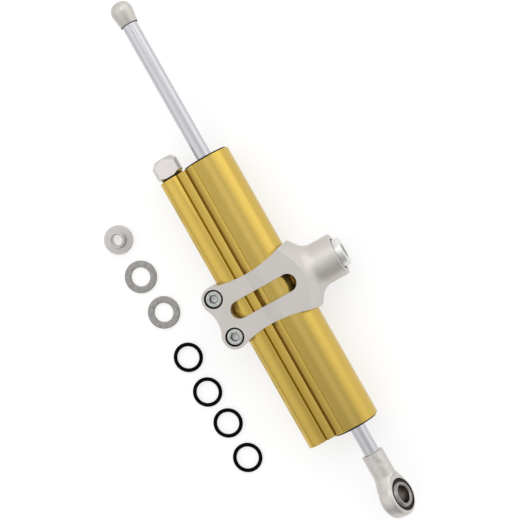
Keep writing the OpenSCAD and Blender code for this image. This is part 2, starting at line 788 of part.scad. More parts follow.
module knob_grub_screw() color("black") on_lobe_axis() cap_end()
  translate([grub_at, 0, -knob_r + edge]) difference() {
    cylinder(d = grub_d, h = knob_r - edge - spindle_d / 2 - seat_fit);
    translate([0, 0, -past]) cylinder(d = grub_key / cos(30), h = grub_d / 2 + past, $fn = 6);
  }

// Turns a detent piece to its place on the knob
module at_detent() on_lobe_axis() cap_end() rotate([detent_turn, 0, 0])
  translate([0, 0, -detent_ring]) children();

module detent_ball() color("gainsboro") at_detent()
  translate([-collar_h - seat_fit - detent_d / 2, 0, 0]) sphere(d = detent_d);

module detent_spring() color("gainsboro") at_detent()
  coil(knob_back - detent_depth, detent_depth - detent_d + knob_gap - 2 * seat_fit,
    detent_d / 2 - detent_wire, detent_wire, detent_turns);

module metering_needle() color("gainsboro") on_lobe_axis() cap_end() difference() {
  union() {
    translate([needle_at, 0, 0]) rotate([0, 90, 0])
      cylinder(d = needle_hex / cos(30), h = needle_hex_len, $fn = 6);
    lathe() polygon([
      [0, needle_at], [needle_d / 2, needle_at], [needle_d / 2, stem_end],
      [needle_tip_r, needle_tip], [0, needle_tip]
    ]);
  }
  lathe() band(0, nose_d / 2 + run_fit, needle_at - past, needle_at + nose_len + past);
}

module valve_seat() color("peru") on_lobe_axis() cap_end() lathe()
  band(orifice_r, lobe_bore_r - seat_fit, seat_at, seat_at + seat_len);

module compensator_piston() color("silver") on_lobe_axis() eye_end() lathe() difference() {
  band(0, lobe_bore_r - run_fit, comp_at, comp_at + comp_len);
  band(-past, comp_seat_r, comp_at - past, comp_at + comp_seat_depth);
  ring_groove(lobe_bore_r, comp_ring_at);
}

module compensator_seal() color("black") on_lobe_axis() eye_end() lathe()
  ring_profile(lobe_bore_r, comp_ring_at);

module compensator_spring() color("gainsboro") on_lobe_axis() eye_end()
  coil(plug_at + plug_len, comp_spring_len + comp_seat_depth, comp_seat_r - comp_wire, comp_wire, comp_turns);

module reservoir_end_plug() color("silver") on_lobe_axis() eye_end() difference() {
  lathe() difference() {
    band(0, lobe_bore_r - seat_fit, plug_at, plug_at + plug_len);
    ring_groove(lobe_bore_r, plug_at + plug_len / 2);
  }
  translate([plug_at - past, 0, 0]) rotate([0, 90, 0])
    cylinder(d = plug_key / cos(30), h = plug_len / 2 + past, $fn = 6);
}

module end_plug_o_ring() color("black") on_lobe_axis() eye_end() lathe()
  ring_profile(lobe_bore_r, plug_at + plug_len / 2);

module end_plug_circlip() color("dimgray") on_lobe_axis() eye_end() difference() {
  lathe() band(lobe_bore_r + plug_clip_groove - plug_clip_h, lobe_bore_r + plug_clip_groove - seat_fit,
    plug_clip_at + seat_fit, plug_clip_at + plug_clip_t - seat_fit);
  translate([plug_clip_at, 0, -lobe_bore_r]) cube([4 * plug_clip_t, lobe_bore_r, lobe_bore_r], center = true);
}

// Lays a loose piece of the kit on the floor
module on_floor(spot) translate([spot[0], spot[1] - kit_row - pivot_reach, floor_z]) children();

module top_hat_spacer() color("lightgray") on_floor(hat_spot) rotate_extrude() difference() {
  union() {
    band(0, hat_flange_d / 2, 0, hat_flange_t);
    band(0, hat_hub_d / 2, 0, hat_h);
  }
  band(-past, hat_bore / 2, -past, hat_h + past);
}

module fitting_washers() color("darkgray") for (spot = washer_spots) on_floor(spot) rotate_extrude()
  band(washer_bore / 2, washer_d / 2, 0, washer_t);

module fitting_o_rings() color("black") for (spot = loose_ring_spots) on_floor(spot) rotate_extrude()
  translate([(loose_ring_d - loose_ring_section) / 2, loose_ring_section / 2]) circle(d = loose_ring_section);

damper_body();
upper_seal_head();
lower_seal_head();
rod_bushes();
rod_seals();
rod_wipers();
seal_head_o_rings();
piston();
piston_band();
piston_circlips();
rod();
rod_cap();
bump_washer();
rod_end_body();
rod_end_race();
swivel_ball();
clamp();
clamp_screws();
pivot_sleeve();
pivot_bush();
pivot_dust_seal();
adjuster_housing();
adjuster_o_ring();
needle_guide();
adjuster_spindle();
adjuster_knob();
knob_grub_screw();
detent_ball();
detent_spring();
metering_needle();
valve_seat();
compensator_piston();
compensator_seal();
compensator_spring();
reservoir_end_plug();
end_plug_o_ring();
end_plug_circlip();
top_hat_spacer();
fitting_washers();
fitting_o_rings();
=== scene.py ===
import json
import math

import bmesh
import bpy
import numpy as np
from mathutils import Matrix, Vector


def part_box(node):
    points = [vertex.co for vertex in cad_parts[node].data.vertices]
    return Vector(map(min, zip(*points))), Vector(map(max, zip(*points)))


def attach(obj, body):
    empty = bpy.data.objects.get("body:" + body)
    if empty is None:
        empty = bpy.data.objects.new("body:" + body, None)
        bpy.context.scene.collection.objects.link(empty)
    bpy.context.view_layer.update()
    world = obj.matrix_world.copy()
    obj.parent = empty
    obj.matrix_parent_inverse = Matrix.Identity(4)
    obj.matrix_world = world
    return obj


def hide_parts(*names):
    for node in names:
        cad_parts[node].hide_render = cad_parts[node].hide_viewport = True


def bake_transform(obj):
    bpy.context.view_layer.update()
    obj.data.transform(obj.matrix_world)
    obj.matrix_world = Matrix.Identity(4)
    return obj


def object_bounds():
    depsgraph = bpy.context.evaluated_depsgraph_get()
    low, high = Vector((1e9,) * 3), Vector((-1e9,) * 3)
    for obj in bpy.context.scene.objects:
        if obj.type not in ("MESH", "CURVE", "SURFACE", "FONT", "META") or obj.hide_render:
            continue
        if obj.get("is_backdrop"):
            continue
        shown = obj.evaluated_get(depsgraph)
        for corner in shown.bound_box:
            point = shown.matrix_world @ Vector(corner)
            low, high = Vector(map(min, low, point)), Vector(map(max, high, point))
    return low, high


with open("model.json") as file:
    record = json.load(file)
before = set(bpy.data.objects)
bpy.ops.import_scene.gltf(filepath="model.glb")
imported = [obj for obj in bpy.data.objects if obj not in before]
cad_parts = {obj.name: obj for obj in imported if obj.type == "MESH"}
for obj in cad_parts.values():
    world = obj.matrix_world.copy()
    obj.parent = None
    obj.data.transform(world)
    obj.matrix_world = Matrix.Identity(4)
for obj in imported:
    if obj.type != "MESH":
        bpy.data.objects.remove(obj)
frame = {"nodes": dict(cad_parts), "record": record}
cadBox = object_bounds()
print("frame loaded with", len(frame["nodes"]), "nodes")

mm = 0.001
behaviour = frame["record"]["behaviour"]
nodeBody = {node: body for body, nodes in behaviour["bodies"].items() for node in nodes}
nodeSlot = {row["node"]: row["material_slot"] for row in frame["record"]["subparts"]}
finished = dict(frame["nodes"])  # the object that shows each node
xAxis, yAxis, zAxis = np.eye(3)


def nodeBox(node):
    low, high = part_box(node)
    return np.array(low) / mm, np.array(high) / mm  # millimetres from here on


def middle(node):
    return sum(nodeBox(node)) / 2


rodY = middle("rod")[1]
lobeY = middle("reservoir_end_plug")[1]
floorLevel = cadBox[0].z / mm

# surfaces shared by several pieces: how close points merge or count as on a rim, and what still counts as flat
meshing = {"merge": 0.0005, "rim": 0.001, "cadMerge": 0.002, "flatDegrees": 0.4}


def gridQuads(rows, columns):
    # face (i, j) joins rows i, i+1 and columns j, j+1, and the last column joins the first
    i = np.arange(rows - 1)[:, None] * columns
    j = np.arange(columns)[None, :]
    k = (j + 1) % columns
    return np.stack([i + j, i + k, i + columns + k, i + columns + j], axis=-1).reshape(-1, 4)


def softProfile(corners, steps=5):
    # rows of (radius, along, rounding): an arc that touches both legs stands for each rounded corner
    points = []
    for n, (r, a, rounding) in enumerate(corners):
        here = np.array([r, a], float)
        if not rounding:
            points.append(here[None])
            continue
        before = np.array(corners[n - 1][:2], float) - here
        after = np.array(corners[n + 1][:2], float) - here
        before, after = before / np.linalg.norm(before), after / np.linalg.norm(after)
        half = math.acos(np.clip(before @ after, -1, 1)) / 2
        centre = here + (before + after) / np.linalg.norm(before + after) * rounding / math.sin(half)
        start = here + before * rounding / math.tan(half) - centre
        end = here + after * rounding / math.tan(half) - centre
        first = math.atan2(start[1], start[0])
        sweep = (math.atan2(end[1], end[0]) - first + math.pi) % (2 * math.pi) - math.pi
        angle = first + sweep * np.linspace(0, 1, steps + 1)
        points.append(centre + rounding * np.stack([np.cos(angle), np.sin(angle)], axis=1))
    return np.concatenate(points)


def acrossColumns(values, columns):
    return np.repeat(np.asarray(values, float)[:, None], columns, axis=1)


def turnedGrid(radius, along, origin, axis, side):
    # P(s, t) = origin + along axis + radius (side cos t + other sin t), with whole arrays of radius and along
    other = np.cross(axis, side)
    angle = 2 * np.pi * np.arange(radius.shape[1]) / radius.shape[1]
    outward = np.cos(angle)[:, None] * side + np.sin(angle)[:, None] * other
    return np.asarray(origin, float) + along[..., None] * axis + radius[..., None] * outward


def turned(profile, origin, axis, side, columns=96):
    # the same, with one (radius, along) for every column of a row
    radius, along = (acrossColumns(values, columns) for values in profile.T)
    return turnedGrid(radius, along, origin, axis, side)


def threadRows(start, end, crest, root, pitch, columns, rowsPerTurn=8):
    # radius = crest to root along a triangle wave of (along / pitch + t / 2 pi), faded out at both ends
    along = acrossColumns(np.arange(start, end, math.copysign(pitch / rowsPerTurn, end - start)), columns)
    phase = (along / pitch + np.arange(columns) / columns) % 1
    fade = np.clip(np.minimum(np.abs(along - start), np.abs(end - along)) / pitch, 0, 1)
    return crest + (root - crest) * np.abs(2 * phase - 1) * fade, along


def springTube(low, high, wire, turns, steps=40, sides=14, closing=0.5):
    # centre(u) = a coil round X that climbs as u - closing sin(2 pi u) / 2 pi
    # P(u, t) = centre(u) + a circle of the wire's radius at angle t
    coilR = (high[1] - low[1] - wire) / 2
    u = np.linspace(0, 1, int(turns * steps) + 1)
    x = low[0] + wire / 2 + (high[0] - low[0] - wire) * (u - closing * np.sin(2 * np.pi * u) / (2 * np.pi))
    angle = 2 * np.pi * turns * u
    out = np.stack([0 * u, np.cos(angle), np.sin(angle)], axis=1)
    centre = coilR * out + np.stack([x, 0 * x + (low[1] + high[1]) / 2, 0 * x + (low[2] + high[2]) / 2], axis=1)
    ahead = np.gradient(centre, axis=0)
    side = np.cross(ahead / np.linalg.norm(ahead, axis=1)[:, None], out)
    t = 2 * np.pi * np.arange(sides) / sides
    circle = np.cos(t)[None, :, None] * out[:, None] + np.sin(t)[None, :, None] * side[:, None]
    tube = centre[:, None] + wire / 2 * circle
    closed = [np.repeat(centre[k][None, None], sides, axis=1) for k in (0, -1)]  # the cut ends of the wire
    return np.concatenate([closed[0], tube, closed[1]])


def joinGrids(grids):
    # several wrapped grids as one list of points and quads
    counts = np.cumsum([0] + [grid.shape[0] * grid.shape[1] for grid in grids])
    points = np.concatenate([grid.reshape(-1, 3) for grid in grids])
    return points, np.concatenate([gridQuads(*grid.shape[:2]) + count for grid, count in zip(grids, counts)])


def closeMesh(mesh, sharpDegrees, fill):
    # merges seams and poles, fills the flat rims at the given x, points faces outwards and marks sharp edges
    near, onRim = meshing["merge"] * mm, meshing["rim"] * mm
    work = bmesh.new()
    work.from_mesh(mesh)
    bmesh.ops.remove_doubles(work, verts=work.verts, dist=near)
    bmesh.ops.dissolve_degenerate(work, edges=work.edges, dist=near)
    for x in fill:
        rim = [e for e in work.edges if e.is_boundary and all(abs(v.co.x - x * mm) < onRim for v in e.verts)]
        bmesh.ops.triangle_fill(work, use_beauty=True, edges=rim)
    bmesh.ops.recalc_face_normals(work, faces=work.faces)
    work.to_mesh(mesh)
    work.free()
    mesh.shade_smooth()
    mesh.set_sharp_from_angle(angle=math.radians(sharpDegrees))


def standFor(name, mesh, node, stretch=None):
    # the piece takes the CAD node's place, its body and its finish; with a stretch given it keeps its place in the
    # world and takes no body
    piece = bpy.data.objects.new(name, mesh)
    bpy.context.scene.collection.objects.link(piece)
    if stretch:
        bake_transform(piece)
    else:
        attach(piece, nodeBody[node])
    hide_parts(node)
    finished[node] = piece
    return piece


def addPiece(name, node, *grids, sharpDegrees=35, fill=(), stretch=None):
    points, quads = joinGrids(grids)
    mesh = bpy.data.meshes.new(name)
    mesh.from_pydata((points * mm).tolist(), [], quads.tolist())
    closeMesh(mesh, sharpDegrees, fill)
    return standFor(name, mesh, node, stretch)


def softCopy(name, node, width, segments=3, edgeDegrees=24):
    # a merged copy of the CAD mesh with its edges broken by a bevel
    mesh = frame["nodes"][node].data.copy()
    mesh.name = name
    for layer in ("custom_normal", "sharp_edge", "sharp_face"):
        if layer in mesh.attributes:
            mesh.attributes.remove(mesh.attributes[layer])
    flat = math.radians(meshing["flatDegrees"])
    work = bmesh.new()
    work.from_mesh(mesh)
    bmesh.ops.remove_doubles(work, verts=work.verts, dist=meshing["cadMerge"] * mm)
    bmesh.ops.dissolve_limit(work, angle_limit=flat, verts=work.verts, edges=work.edges)
    work.to_mesh(mesh)
    work.free()
    mesh.shade_smooth()
    piece = standFor(name, mesh, node)
    bevel = piece.modifiers.new("edgeBreak", "BEVEL")
    bevel.width = width * mm
    bevel.segments = segments
    bevel.limit_method = "ANGLE"
    bevel.angle_limit = math.radians(edgeDegrees)
    bevel.harden_normals = True
    return piece


def secondFinish(piece, inside):
    # faces whose centres lie inside the given space take the piece's second material
    centres = np.empty(3 * len(piece.data.polygons))
    piece.data.polygons.foreach_get("center", centres)
    piece.data.polygons.foreach_set("material_index", inside(centres.reshape(-1, 3) / mm).astype(np.int32))


# the camera looks down on the flats, leaning towards the pivot as the damper lies in the photograph
camera = {"lean": 10.0, "turn": 60.45, "distance": 862.0, "alongRod": -18.0, "acrossRod": -1.3,
          "lens": 108.6, "sensor": 36, "clip": (0.01, 50)}

lean, turn = math.radians(camera["lean"]), math.radians(camera["turn"])
back = np.array([0, math.sin(lean), math.cos(lean)])
across = np.array([0, math.cos(lean), -math.sin(lean)])
right = math.cos(turn) * xAxis + math.sin(turn) * across
up = -math.sin(turn) * xAxis + math.cos(turn) * across
aim = camera["alongRod"] * xAxis + rodY * yAxis + camera["acrossRod"] * across
lens = bpy.data.cameras.new("photoCamera")
lens.sensor_width = camera["sensor"]
lens.lens = camera["lens"]
lens.clip_start, lens.clip_end = camera["clip"]
viewer = bpy.data.objects.new("photoCamera", lens)
pose = Matrix.Identity(4)
for column, direction in enumerate((right, up, back, (aim + camera["distance"] * back) * mm)):
    pose.col[column][:3] = direction
viewer.matrix_world = pose
bpy.context.scene.collection.objects.link(viewer)
bpy.context.scene.camera = viewer
print("camera set")

# extruded barrel: main tube with two flats, web and side reservoir
barrel = {"grooveOffset": 4.1, "grooveWidth": 1.3, "grooveDepth": 2.0, "relief": 0.25, "scribe": 0.22,
          "edgeSoft": 0.06, "endRound": 0.35, "endRows": 6, "samples": 2400, "boreColumns": 128, "sharpDegrees": 50}

bodyLow, bodyHigh = nodeBox("damper_body")
tubeR, lobeR, flatZ = bodyHigh[1] - rodY, lobeY - bodyLow[1], bodyHigh[2]
boreR = np.ptp(nodeBox("upper_seal_head"), axis=0)[1] / 2
lobeBoreR = np.ptp(nodeBox("reservoir_end_plug"), axis=0)[1] / 2


def arcPoints(centreY, radius, fromAngle, toAngle, count=300):
    # (y, z) on a circle round (centreY, 0)
    angle = np.linspace(fromAngle, toAngle, count)
    return np.stack([centreY + radius * np.cos(angle), radius * np.sin(angle)], axis=1)


def barrelSection():
    # upper half of (y, z): tube, scribed flat, tube, relief cut, web, groove and reservoir
    # the lower half mirrors it
    flatAngle = math.asin(flatZ / tubeR)
    flatHalf = tubeR * math.cos(flatAngle)
    cut = barrel["scribe"]
    scribe = np.array([[cut - flatHalf, flatZ], [-flatHalf, flatZ - cut]])
    reliefY = math.sqrt(tubeR ** 2 - lobeR ** 2) + barrel["relief"]
    reliefAngle = math.pi - math.acos(reliefY / tubeR)
    grooveY = lobeY + barrel["grooveOffset"]
    half = barrel["grooveWidth"] / 2
    lobeAngle = math.acos((barrel["grooveOffset"] - half) / lobeR)
    grooveZ = lobeR - barrel["grooveDepth"]
    web = np.array([[rodY - reliefY, lobeR], [grooveY + half, lobeR],
                    [grooveY + half, grooveZ], [grooveY - half, grooveZ]])
    upper = np.concatenate([
        arcPoints(rodY, tubeR, 0, flatAngle), scribe + [rodY, 0],
        arcPoints(rodY, tubeR, math.pi - flatAngle + cut / tubeR, reliefAngle), web,
        arcPoints(lobeY, lobeR, lobeAngle, math.pi)])
    loop = np.concatenate([upper, upper[-2:0:-1] * [1, -1], upper[:1]])
    # even spacing along the outline, then a Gaussian along it softens the corners
    length = np.concatenate([[0], np.cumsum(np.linalg.norm(np.diff(loop, axis=0), axis=1))])
    at = np.linspace(0, length[-1], barrel["samples"], endpoint=False)
    even = np.stack([np.interp(at, length, loop[:, k]) for k in (0, 1)], axis=1)
    wave = np.fft.fftfreq(len(at), length[-1] / len(at)) * 2 * np.pi
    kept = np.exp(-(wave[:, None] * barrel["edgeSoft"]) ** 2 / 2)
    return np.fft.ifft(np.fft.fft(even, axis=0) * kept, axis=0).real


def barrelOutside():
    # P(s, t) = section(t), inset by a quarter round at both ends, carried along X
    section = barrelSection()
    ahead = np.roll(section, -1, axis=0) - np.roll(section, 1, axis=0)
    outward = np.stack([ahead[:, 1], -ahead[:, 0]], axis=1) / np.linalg.norm(ahead, axis=1)[:, None]
    quarter = np.linspace(0, np.pi / 2, barrel["endRows"])
    inset = barrel["endRound"] * (1 - np.sin(quarter))
    step = barrel["endRound"] * (1 - np.cos(quarter))
    x = np.concatenate([bodyLow[0] + step, bodyHigh[0] - step[::-1]])
    ring = section[None] - np.concatenate([inset, inset[::-1]])[:, None, None] * outward[None]
    return np.concatenate([np.broadcast_to(x[:, None, None], ring.shape[:2] + (1,)), ring], axis=2)


def barrelBore(radius, y):
    # P(s, t) = a circle of the radius round (y, 0), carried along X from end to end
    wall = np.array([[radius, bodyLow[0]], [radius, bodyHigh[0]]])
    return turned(wall, [0, y, 0], xAxis, yAxis, barrel["boreColumns"])


barrelShell = addPiece(
    "barrelShell", "damper_body", barrelOutside(), barrelBore(boreR, rodY), barrelBore(lobeBoreR, lobeY),
    sharpDegrees=barrel["sharpDegrees"], fill=(bodyLow[0], bodyHigh[0]))
print("barrel made")

# split clamp, with its machined edges broken; the last values bound the painted shade in its screw pockets and window
clamp = {"edge": 0.4, "segments": 3, "pocketR": 5.36, "pocketRise": 0.35, "windowHalf": 5.1,
         "windowNear": 3, "windowFar": 14.2, "windowHeight": 17.2}
clampBody = softCopy("clampBody", "clamp", clamp["edge"], clamp["segments"])
print("clamp made")

# clamp screws: socket heads and rolled threads
screw = {"inset": 4.3, "headR": 4.45, "headHeight": 5.0, "crown": 0.45, "headFoot": 0.15,
         "keyAcross": 4.0, "keyDepth": 2.7, "keyPoint": 0.7, "keyFloorR": 1.5, "keyLip": 0.3, "mouthOver": 0.15,
         "keyTurn": 12, "keyReach": 2.32, "keySkin": 0.1, "threadR": 2.5, "threadRoot": 2.03, "pitch": 0.8,
         "neck": 0.2, "tipLength": 0.7, "tipR": 1.9, "columns": 96}

screwLow, screwHigh = nodeBox("clamp_screws")
screwX = screwHigh[0] - screw["inset"]
screwY = middle("clamp_screws")[1]


def screwGrid(x):
    # radius(t) goes from a hexagon, half / cos(t folded to a sixth turn), to circles
    # along goes down from the head's top
    columns = screw["columns"]
    t = 2 * np.pi * np.arange(columns) / columns
    key = screw["keyAcross"] / 2 / np.cos((t + np.pi / 6) % (np.pi / 3) - np.pi / 6)
    circle = np.ones(columns)
    depth, head, tip = -screw["keyDepth"], -screw["headHeight"], screwLow[2] - screwHigh[2]
    mouth = screw["keyAcross"] / math.sqrt(3) + screw["mouthOver"]
    socket = [(0 * circle, depth - screw["keyPoint"]), (screw["keyFloorR"] * circle, depth), (key, depth),
              (key, -screw["keyLip"]), (mouth * circle, 0)]
    crown = softProfile([(mouth, 0, 0), (screw["headR"], 0, screw["crown"]),
                         (screw["headR"], head, screw["headFoot"]), (screw["threadR"], head, 0)])[1:]
    threadR, threadA = threadRows(head - screw["neck"], tip + screw["tipLength"],
                                  screw["threadR"], screw["threadRoot"], screw["pitch"], columns)
    radius = np.concatenate([[r for r, a in socket], acrossColumns(crown[:, 0], columns), threadR,
                             [screw["tipR"] * circle, 0 * circle]])
    along = np.concatenate([acrossColumns([a for r, a in socket], columns), acrossColumns(crown[:, 1], columns),
                            threadA, acrossColumns([tip, tip], columns)])
    keyTurn = math.radians(screw["keyTurn"])
    side = math.cos(keyTurn) * xAxis + math.sin(keyTurn) * yAxis
    return turnedGrid(radius, along, [x, screwY, screwHigh[2]], zAxis, side)


clampScrews = addPiece("clampScrews", "clamp_screws", screwGrid(-screwX), screwGrid(screwX))
print("clamp screws made")

# pivot sleeve, with its inner flange and threaded hole
sleeve = {"outerR": 8.2, "edge": 0.5, "flangeT": 3.0, "flangeRound": 0.3, "mouthOver": 0.25, "mouthRound": 0.15,
          "mouthDepth": 0.85, "threadFrom": 0.9, "core": 3.4, "root": 4.02, "pitch": 1.25, "depth": 20.0,
          "cone": 1.9, "holeSlack": 0.03, "holePast": 2, "columns": 96}

sleeveLow, sleeveHigh = nodeBox("pivot_sleeve")


def sleeveGrid():
    # outside profile from the closed end to the mouth, then the thread and the drill's cone
    top, foot, flangeR, columns = sleeveHigh[1], sleeveLow[1], sleeveHigh[0], sleeve["columns"]
    flangeTop, bottom, soft = foot + sleeve["flangeT"], top - sleeve["depth"], sleeve["flangeRound"]
    outside = softProfile([(0, foot, 0), (flangeR, foot, soft), (flangeR, flangeTop, soft),
                           (sleeve["outerR"], flangeTop, 0), (sleeve["outerR"], top, sleeve["edge"]),
                           (sleeve["root"] + sleeve["mouthOver"], top, sleeve["mouthRound"]),
                           (sleeve["core"], top - sleeve["mouthDepth"], 0)])
    threadR, threadA = threadRows(top - sleeve["threadFrom"], bottom,
                                  sleeve["core"], sleeve["root"], sleeve["pitch"], columns)
    cone = np.array([[sleeve["core"], bottom], [0, bottom - sleeve["cone"]]])
    radius = np.concatenate([acrossColumns(outside[:, 0], columns), threadR, acrossColumns(cone[:, 0], columns)])
    along = np.concatenate([acrossColumns(outside[:, 1], columns), threadA, acrossColumns(cone[:, 1], columns)])
    return turnedGrid(radius, along, [0, 0, 0], yAxis, xAxis)


pivotSleeve = addPiece("pivotSleeve", "pivot_sleeve", sleeveGrid())
print("pivot sleeve made")

# rod cap: a blunt turned dome over the end of the rod
cap = {"rearR": 5.1, "rearRound": 0.25, "fullR": 6.2, "shoulder": 7.4, "power": 2.3, "domeRows": 40,
       "studR": 3.02, "studDepth": 8.5, "columns": 128}

capLow, capHigh = nodeBox("rod_cap")


def capProfile():
    # radius grows along a straight flank, then falls as a superellipse to the tip
    # the blind hole takes the rod's stud
    long = capHigh[0] - capLow[0]
    flank = softProfile([(cap["studR"], 0, 0), (cap["rearR"], 0, cap["rearRound"]),
                         (cap["fullR"], -cap["shoulder"], 0)])
    s = np.sin(np.linspace(0, np.pi / 2, cap["domeRows"]))
    dome = np.stack([cap["fullR"] * (1 - s ** cap["power"]).clip(0) ** (1 / cap["power"]),
                     -cap["shoulder"] - (long - cap["shoulder"]) * s], axis=1)
    hole = np.array([[0, -cap["studDepth"]], [cap["studR"], -cap["studDepth"]]])
    return np.concatenate([hole, flank, dome])


addPiece("rodCap", "rod_cap", turned(capProfile(), [capHigh[0], rodY, 0], xAxis, yAxis, cap["columns"]))
print("rod cap made")

# rod end: forged eye, moulded race and swivel ball
rodEnd = {"edge": 0.35, "segments": 2, "ballR": 8.6, "ballHalf": 5.5, "ballEdge": 0.12, "ballRows": 40,
          "boreR": 5.0, "boreEdge": 0.55, "boreSlack": 0.02,
          "raceR": 9.27, "raceHalf": 4.2, "raceGap": 0.03, "raceRound": 0.3, "raceRows": 30}

eyeAxis = np.array(next(joint["axis"] for joint in behaviour["joints"] if joint["name"] == "eye_spin"), float)
eyeCentre = middle("swivel_ball")


def globeRows(radius, start, end, rows):
    # (radius, along) on a circle round the eye's centre, from one height along the axis to another
    angle = np.linspace(math.asin(start / radius), math.asin(end / radius), rows)
    return radius * np.stack([np.cos(angle), np.sin(angle)], axis=1)


def ballProfile():
    # circle of the ball between its two flats, closed through the chamfered bore
    edge, half, bore = rodEnd["boreEdge"], rodEnd["ballHalf"], rodEnd["boreR"]
    globe = globeRows(rodEnd["ballR"], half, -half, rodEnd["ballRows"])
    mouth = np.array([[bore, half - edge], [bore + edge, half], [globe[0, 0] - rodEnd["ballEdge"], half]])
    return np.concatenate([mouth, globe, mouth[::-1] * [1, -1], mouth[:1]])


def raceProfile():
    # outside of the race, and the ball's circle with a running gap inside
    half, out, soft = rodEnd["raceHalf"], rodEnd["raceR"], rodEnd["raceRound"]
    seat = globeRows(rodEnd["ballR"] + rodEnd["raceGap"], -half, half, rodEnd["raceRows"])
    outside = softProfile([(*seat[-1], 0), (out, half, soft), (out, -half, soft), (*seat[0], 0)])
    return np.concatenate([seat, outside])


softCopy("rodEndBody", "rod_end_body", rodEnd["edge"], rodEnd["segments"])
swivelBall = addPiece("swivelBall", "swivel_ball", turned(ballProfile(), eyeCentre, eyeAxis, xAxis))
addPiece("rodEndRace", "rod_end_race", turned(raceProfile(), eyeCentre, eyeAxis, xAxis))
print("rod end made")

# adjuster knob and the closing pieces at both ends of the barrel
ends = {"knobEdge": 0.3, "knobSegments": 3, "knobFlatSkin": 0.02, "headEdge": 0.2, "plugEdge": 0.2, "segments": 2}
adjusterKnob = softCopy("adjusterKnob", "adjuster_knob", ends["knobEdge"], ends["knobSegments"])
softCopy("upperSealHead", "upper_seal_head", ends["headEdge"], ends["segments"])
softCopy("lowerSealHead", "lower_seal_head", ends["headEdge"], ends["segments"])
softCopy("reservoirEndPlug", "reservoir_end_plug", ends["plugEdge"], ends["segments"])
print("knob and end pieces made")

# springs, wound from round wire; the compensator's takes no body
springs = {"compensator_spring": {"wire": 0.9, "turns": 5.0, "stretch": ("compensator", "barrel")},
           "detent_spring": {"wire": 0.35, "turns": 3.0, "stretch": None}}
for node, size in springs.items():
    coil = springTube(*nodeBox(node), size["wire"], size["turns"])
    addPiece(node.split("_")[0] + "Spring", node, coil, stretch=size["stretch"])
print("springs wound")

# fitting kit, lying in a row beside the damper
hat = {"flangeR": 8.3, "flangeT": 2.5, "flangeRound": 0.4, "footRound": 0.3, "hubR": 4.7, "hubRound": 0.45,
       "rootRound": 0.3, "height": 6.0, "boreR": 3.2, "boreTop": 0.35, "boreFoot": 0.3, "columns": 112}
washer = {"outerR": 9.3, "outerRound": 0.45, "boreR": 5.5, "boreRound": 0.4, "thick": 1.6, "foot": 0.1,
          "places": [(-43, -110.7), (-19, -109.2)], "columns": 112}
ring = {"middleR": 7.4, "sectionR": 1.1, "flash": 0.025, "flashWidth": 0.12, "rows": 41,
        "places": [(10, -109.7), (32.5, -109.9), (53.5, -108.4), (76, -108.4)], "columns": 112}


def hatProfile():
    # hub and flange from the bore's foot round to the bore's foot again
    bore, hub, flange, foot, rim = hat["boreR"], hat["hubR"], hat["flangeR"], hat["boreFoot"], hat["boreTop"]
    height, thick = hat["height"], hat["flangeT"]
    return softProfile([(bore, foot, 0), (bore, height - rim, 0), (bore + rim, height, 0),
                        (hub, height, hat["hubRound"]), (hub, thick, hat["rootRound"]),
                        (flange, thick, hat["flangeRound"]), (flange, 0, hat["footRound"]),
                        (bore + foot, 0, 0), (bore, foot, 0)])


def washerProfile():
    # stamped ring, rolled over on its upper edges
    bore, out, thick, foot = washer["boreR"], washer["outerR"], washer["thick"], washer["foot"]
    return softProfile([(bore, foot, 0), (bore, thick, washer["boreRound"]), (out, thick, washer["outerRound"]),
                        (out, 0, foot), (bore + foot, 0, 0), (bore, foot, 0)])


def ringProfile():
    # circle of the section, with a trace of mould flash at its inner and outer edge
    angle = np.linspace(0, 2 * np.pi, ring["rows"])
    size = ring["sectionR"] - ring["flash"] * (1 - np.exp(-(np.sin(angle) / ring["flashWidth"]) ** 2))
    return np.stack([ring["middleR"] + size * np.cos(angle), ring["sectionR"] + size * np.sin(angle)], axis=1)


def onFloor(profile, x, y, columns):
    # the profile turned about an upright axis on the floor
    return turned(profile, [x, y, floorLevel], zAxis, xAxis, columns)


hatSpot = middle("top_hat_spacer")
addPiece("topHatSpacer", "top_hat_spacer", onFloor(hatProfile(), *hatSpot[:2], hat["columns"]))
addPiece("fittingWashers", "fitting_washers",
         *[onFloor(washerProfile(), x, y, washer["columns"]) for x, y in washer["places"]])
addPiece("fittingRings", "fitting_o_rings",
         *[onFloor(ringProfile(), x, y, ring["columns"]) for x, y in ring["places"]])
print("fitting kit made")

# finishes: five shared patterns, each put out as one value from 0 to 1
grain = {"drawnOut": 0.01, "waver": 0.01, "lineRough": 0.55, "ringRough": 0.6, "blastRough": 0.65, "mottleRough": 0.5}


def newGroup(name, *values):
    # a vector and the named values in, one value out
    group = bpy.data.node_groups.new(name, "ShaderNodeTree")
    group.interface.new_socket("Vector", in_out="INPUT", socket_type="NodeSocketVector")
    for value in values:
        group.interface.new_socket(value, in_out="INPUT", socket_type="NodeSocketFloat")
    group.interface.new_socket("Value", in_out="OUTPUT", socket_type="NodeSocketFloat")
    return group, group.nodes.new("NodeGroupInput"), group.nodes.new("NodeGroupOutput")


def addNode(tree, kind, **settings):
    node = tree.nodes.new(kind)
    for key, value in settings.items():
        setattr(node, key, value)
    return node


def clearTree(owner, outputKind):
    # the node tree of a material or world, with nothing in it but its output
    owner.use_nodes = True
    owner.node_tree.nodes.clear()
    return owner.node_tree, addNode(owner.node_tree, outputKind)


